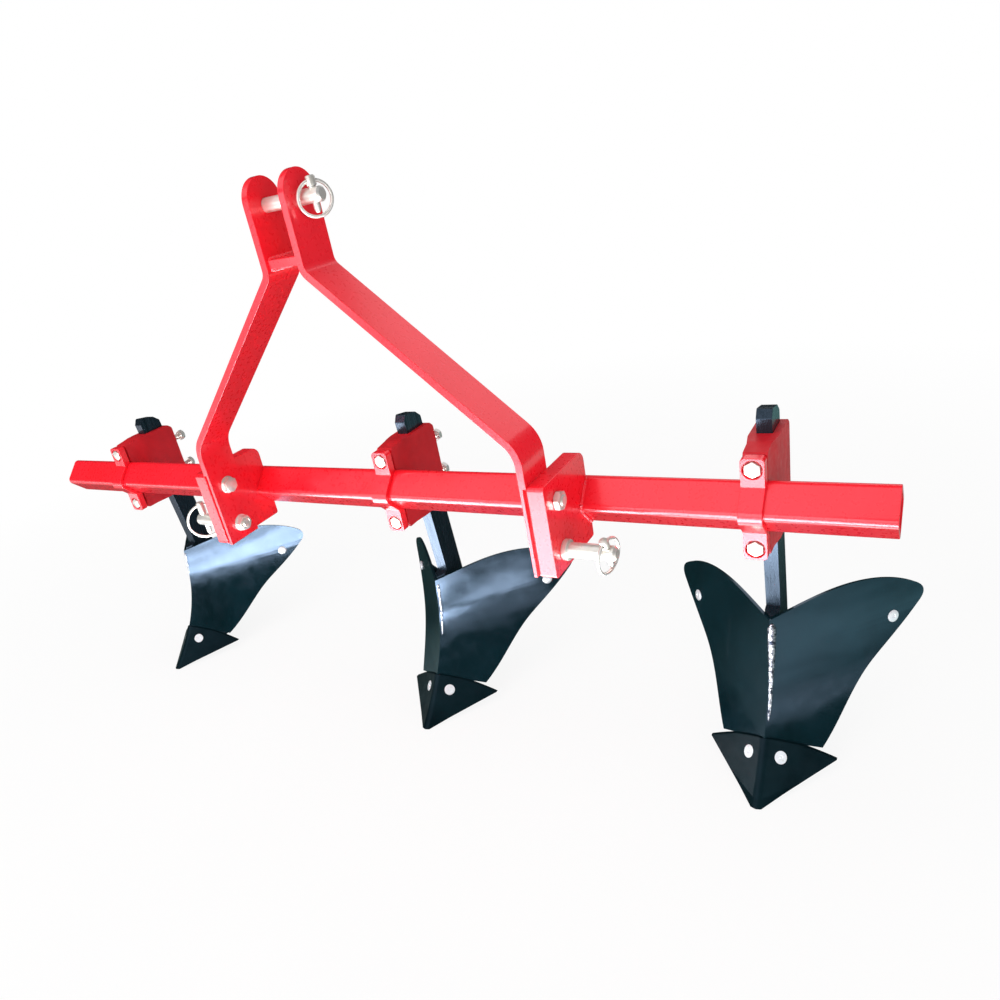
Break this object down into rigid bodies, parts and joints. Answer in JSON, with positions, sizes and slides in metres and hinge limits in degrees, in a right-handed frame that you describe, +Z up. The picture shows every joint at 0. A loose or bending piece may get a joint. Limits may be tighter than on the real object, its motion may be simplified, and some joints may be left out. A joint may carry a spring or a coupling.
{
  "type": "potato ridger",
  "caption": "Three-row tractor-mounted potato ridger: square toolbar on edge, bent-bar hitch mast and three clamped ridging bodies with curved wings.",
  "frame": {"origin": "on the ground under the middle of the machine's bounding box", "axes": "+X along the toolbar, towards the right row seen from the tractor side; +Y backwards, away from the tractor; +Z up"},
  "size_m": [1.6442, 0.3843, 0.947],
  "materials": {
    "red_paint": "gloss",
    "black_paint": "gloss",
    "share_black": "satin",
    "zinc_plate": "zinc plated"
  },
  "bodies": {
    "frame": {"toolbar": "red_paint", "mast_bar_left": "red_paint", "mast_bar_right": "red_paint", "hitch_bracket_left": "red_paint", "hitch_bracket_right": "red_paint", "mast_cross_plate": "red_paint", "lower_link_pin_left": "zinc_plate", "lower_link_pin_right": "zinc_plate", "bracket_bolts": "zinc_plate", "top_link_pin": "zinc_plate"},
    "row_left": {"clamp_body_left": "red_paint", "clamp_strap_left": "red_paint", "clamp_bolts_left": "zinc_plate", "set_bolts_left": "zinc_plate"},
    "ridger_left": {"shank_left": "black_paint", "wing_left_left": "black_paint", "wing_right_left": "black_paint", "share_left": "share_black", "stays_left": "black_paint", "body_bolts_left": "zinc_plate"},
    "row_middle": {"clamp_body_middle": "red_paint", "clamp_strap_middle": "red_paint", "clamp_bolts_middle": "zinc_plate", "set_bolts_middle": "zinc_plate"},
    "ridger_middle": {"shank_middle": "black_paint", "wing_left_middle": "black_paint", "wing_right_middle": "black_paint", "share_middle": "share_black", "stays_middle": "black_paint", "body_bolts_middle": "zinc_plate"},
    "row_right": {"clamp_body_right": "red_paint", "clamp_strap_right": "red_paint", "clamp_bolts_right": "zinc_plate", "set_bolts_right": "zinc_plate"},
    "ridger_right": {"shank_right": "black_paint", "wing_left_right": "black_paint", "wing_right_right": "black_paint", "share_right": "share_black", "stays_right": "black_paint", "body_bolts_right": "zinc_plate"},
    "lower_linch_left": {"lower_linch_pin_left": "zinc_plate"},
    "lower_ring_left": {"lower_linch_ring_left": "zinc_plate"},
    "lower_linch_right": {"lower_linch_pin_right": "zinc_plate"},
    "lower_ring_right": {"lower_linch_ring_right": "zinc_plate"},
    "top_linch": {"top_linch_pin": "zinc_plate"},
    "top_ring": {"top_linch_ring": "zinc_plate"}
  },
  "joints": [
    {"name": "row_spacing_left", "type": "slide", "parent": "frame", "child": "row_left", "axis": [1, 0, 0], "range_m": [-0.14, 0.14]},
    {"name": "body_depth_left", "type": "slide", "parent": "row_left", "child": "ridger_left", "axis": [0, -0.0732, 0.9973], "range_m": [-0.03, 0.1]},
    {"name": "row_spacing_middle", "type": "slide", "parent": "frame", "child": "row_middle", "axis": [1, 0, 0], "range_m": [-0.06, 0.06]},
    {"name": "body_depth_middle", "type": "slide", "parent": "row_middle", "child": "ridger_middle", "axis": [0, -0.0732, 0.9973], "range_m": [-0.03, 0.1]},
    {"name": "row_spacing_right", "type": "slide", "parent": "frame", "child": "row_right", "axis": [1, 0, 0], "range_m": [-0.12, 0.13]},
    {"name": "body_depth_right", "type": "slide", "parent": "row_right", "child": "ridger_right", "axis": [0, -0.0732, 0.9973], "range_m": [-0.03, 0.1]},
    {"name": "lower_linch_left_draw", "type": "slide", "parent": "frame", "child": "lower_linch_left", "axis": [0, 0, 1], "range_m": [0, 0.052]},
    {"name": "lower_ring_left_swing", "type": "hinge", "parent": "lower_linch_left", "child": "lower_ring_left", "pos_m": [-0.312, -0.15839, 0.448], "axis": [0.5736, 0.8192, 0], "range_deg": [0, 165]},
    {"name": "lower_linch_right_draw", "type": "slide", "parent": "frame", "child": "lower_linch_right", "axis": [0, -0.342, 0.9397], "range_m": [0, 0.045]},
    {"name": "lower_ring_right_swing", "type": "hinge", "parent": "lower_linch_right", "child": "lower_ring_right", "pos_m": [0.472, -0.16489, 0.43685], "axis": [-0.2079, -0.9192, -0.3345], "range_deg": [0, 165]},
    {"name": "top_linch_draw", "type": "slide", "parent": "frame", "child": "top_linch", "axis": [0, 0, 1], "range_m": [0, 0.04]},
    {"name": "top_ring_swing", "type": "hinge", "parent": "top_linch", "child": "top_ring", "pos_m": [0.1375, -0.15939, 0.9275], "axis": [-0.6428, -0.766, 0], "range_deg": [0, 165]}
  ],
  "couplings": [
    {"joint": "lower_ring_left_swing", "follows": "lower_linch_left_draw", "rad_per_m": 53.719},
    {"joint": "lower_ring_right_swing", "follows": "lower_linch_right_draw", "rad_per_m": 62.076},
    {"joint": "top_ring_swing", "follows": "top_linch_draw", "rad_per_m": 69.835}
  ]
}
